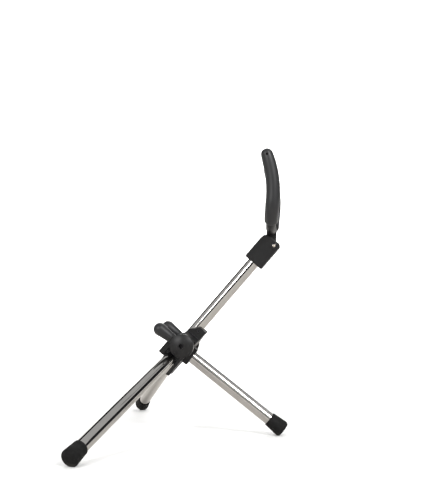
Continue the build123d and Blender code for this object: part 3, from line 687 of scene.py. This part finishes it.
def build_light(name, centre, look_at, size, power):
    """A soft square light."""
    bpy.ops.object.light_add(type="AREA", location=centre)
    light = bpy.context.object
    light.name = name
    light.rotation_euler = (Vector(centre) - Vector(look_at)).to_track_quat("Z", "Y").to_euler()
    light.data.size = size
    light.data.energy = power


def build_air():
    """An even white world."""
    world = bpy.data.worlds.new("studio_air")
    bpy.context.scene.world = world
    world.use_nodes = True
    tree = world.node_tree
    # White where it is seen past the paper, and a little dimmer where it lights the stand.
    seen = add(tree, "ShaderNodeLightPath", "Is Camera Ray")
    strength = add(tree, "ShaderNodeMapRange", "Result", Value=seen, To_Min=AIR_LIGHT, To_Max=AIR_SEEN)
    join(tree, tree.nodes["Background"], Color=(1.0, 1.0, 1.0, 1.0), Strength=strength)


def build_camera():
    """Seen from low down beside the stand's left side."""
    bpy.ops.object.camera_add(location=CAMERA_PLACE, rotation=CAMERA_TURN)
    camera = bpy.context.object
    camera.name = "camera"
    camera.data.lens = CAMERA_LENS
    camera.data.sensor_width = CAMERA_SENSOR
    camera.data.clip_start = CAMERA_CLIP
    bpy.context.scene.camera = camera
    bpy.context.scene.view_settings.view_transform = "Standard"


# ---------------------------------------------------------------- operators

class STAND_OT_metals(bpy.types.Operator):
    """Give the tubes, rivets, screws and pins their metals, and dome the yoke pin's ends"""
    bl_idname = "stand.metals"
    bl_label = "Metals"

    def execute(self, context):
        nodes = frame["nodes"]
        for node, item in nodes.items():
            if node.endswith("_tube"):
                top, low = tube_axis(node)
                give(item, chromed_tube("bright_chrome_" + node, (top - low).normalized()))
        nickel = turned_metal("nickel_plated_rivet", colours().nickel, shiny=0.16, dull=0.3)
        # This dark steel is painted shade. It makes the screws, and in place of their nickel the post rivet
        # and the yoke pin, as dark as the shade in their recesses.
        steel = turned_metal("dark_steel_painted_shade", colours().steel, shiny=0.28, dull=0.42)
        put({"rivet_steel": nickel, "screw_steel": steel})
        give(nodes["post_rivet"], steel)
        give(nodes["yoke_pin"], steel)
        build_pin_domes(nickel)
        # The leg rivets are filed flush and plated with their tubes.
        for leg in LEGS:
            give(nodes[f"{leg}_rivet"], bpy.data.materials[f"bright_chrome_{leg}_tube"])
        return {"FINISHED"}


class STAND_OT_mouldings(bpy.types.Operator):
    """Give the hub, bracket, yoke, eyes, arms and washers their plastics"""
    bl_idname = "stand.mouldings"
    bl_label = "Mouldings"

    def execute(self, context):
        put({"moulded_plastic": moulded_plastic(), "washer_nylon": washer_nylon()})
        return {"FINISHED"}


class STAND_OT_caps(bpy.types.Operator):
    """Model the three rubber foot caps"""
    bl_idname = "stand.caps"
    bl_label = "Foot caps"

    def execute(self, context):
        rubber = cap_rubber()
        for leg in LEGS:
            build_cap(leg, rubber)
        put({"foot_rubber": rubber})
        return {"FINISHED"}


class STAND_OT_sleeves(bpy.types.Operator):
    """Model the rubber sleeves of the yoke and of the cradle's prongs"""
    bl_idname = "stand.sleeves"
    bl_label = "Sleeves"

    def execute(self, context):
        rubber = sleeve_rubber()
        for side in SIDES:
            build_yoke_sleeve(side, rubber)
            build_prong_sleeve(side, rubber)
        put({"sleeve_rubber": rubber})
        return {"FINISHED"}


class STAND_OT_studio(bpy.types.Operator):
    """Build the floor, backdrop, cards, lights and camera"""
    bl_idname = "stand.studio"
    bl_label = "Studio"

    def execute(self, context):
        build_floor()
        for card in CARDS:
            build_card(*card, colours().flag)
        # The floor looks a warm grey from the tubes' undersides.
        build_card("card_floor", (0.0, 0.0, -FLOOR_DROP / 2), MIDDLE, 3.0, 3.0, colours().floor_tone)
        for light in LIGHTS:
            build_light(*light)
        build_air()
        build_camera()
        return {"FINISHED"}


class STAND_PT_panel(bpy.types.Panel):
    """The stand's panel in the sidebar"""
    bl_idname = "STAND_PT_panel"
    bl_label = "Saxophone stand"
    bl_space_type = "VIEW_3D"
    bl_region_type = "UI"
    bl_category = "Stand"

    def draw(self, context):
        for kind in OPERATORS:
            self.layout.operator(kind.bl_idname)
        for group in (context.scene.stand_sizes, context.scene.stand_colours):
            box = self.layout.box()
            for key in group.__annotations__:
                box.prop(group, key)


OPERATORS = (STAND_OT_metals, STAND_OT_mouldings, STAND_OT_caps, STAND_OT_sleeves, STAND_OT_studio)
CLASSES = (StandSizes, StandColours) + OPERATORS + (STAND_PT_panel,)


def register():
    for kind in CLASSES:
        bpy.utils.register_class(kind)
    bpy.types.Scene.stand_sizes = bpy.props.PointerProperty(type=StandSizes)
    bpy.types.Scene.stand_colours = bpy.props.PointerProperty(type=StandColours)


def unregister():
    del bpy.types.Scene.stand_colours
    del bpy.types.Scene.stand_sizes
    for kind in reversed(CLASSES):
        bpy.utils.unregister_class(kind)


def main():
    """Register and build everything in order."""
    register()
    for kind in OPERATORS:
        group, name = kind.bl_idname.split(".")
        getattr(getattr(bpy.ops, group), name)()


if __name__ == "__main__":
    main()
